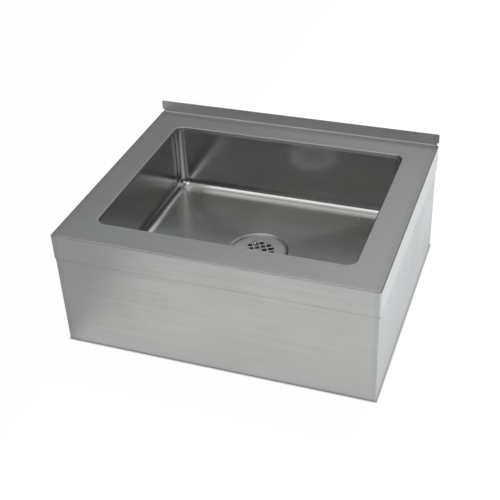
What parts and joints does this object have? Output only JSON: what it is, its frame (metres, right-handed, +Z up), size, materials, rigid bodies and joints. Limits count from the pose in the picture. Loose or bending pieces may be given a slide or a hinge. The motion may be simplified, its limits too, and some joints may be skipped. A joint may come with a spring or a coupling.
{
  "type": "mop service sink",
  "caption": "Low floor-standing stainless sink with a coved rectangular bowl, plain skirts to the floor, a short wall upturn and a screwed-down strainer drain.",
  "frame": {"origin": "on the floor, in the middle of the footprint", "axes": "+X along the long side, +Y towards the wall, +Z up"},
  "size_m": [0.635, 0.5334, 0.2794],
  "materials": {
    "cabinet_steel": "brushed along the sheet, satin",
    "bowl_steel": "satin, fine grain",
    "drain_steel": "cast and lightly polished",
    "gasket_rubber": "matt",
    "washer_fibre": "matt fibre",
    "nut_brass": "as cast",
    "screw_steel": "bright"
  },
  "bodies": {
    "sink": {"deck": "cabinet_steel", "bowl": "bowl_steel", "front_skirt": "cabinet_steel", "rear_skirt": "cabinet_steel", "right_skirt": "cabinet_steel", "left_skirt": "cabinet_steel", "drain_body": "drain_steel", "drain_gasket": "gasket_rubber", "friction_washer": "washer_fibre", "drain_locknut": "nut_brass"},
    "strainer": {"strainer_plate": "drain_steel", "strainer_screw_1": "screw_steel", "strainer_screw_2": "screw_steel"}
  },
  "joints": [
    {"name": "strainer_lift", "type": "slide", "parent": "sink", "child": "strainer", "axis": [0, 0, 1], "range_m": [0, 0.17]}
  ]
}
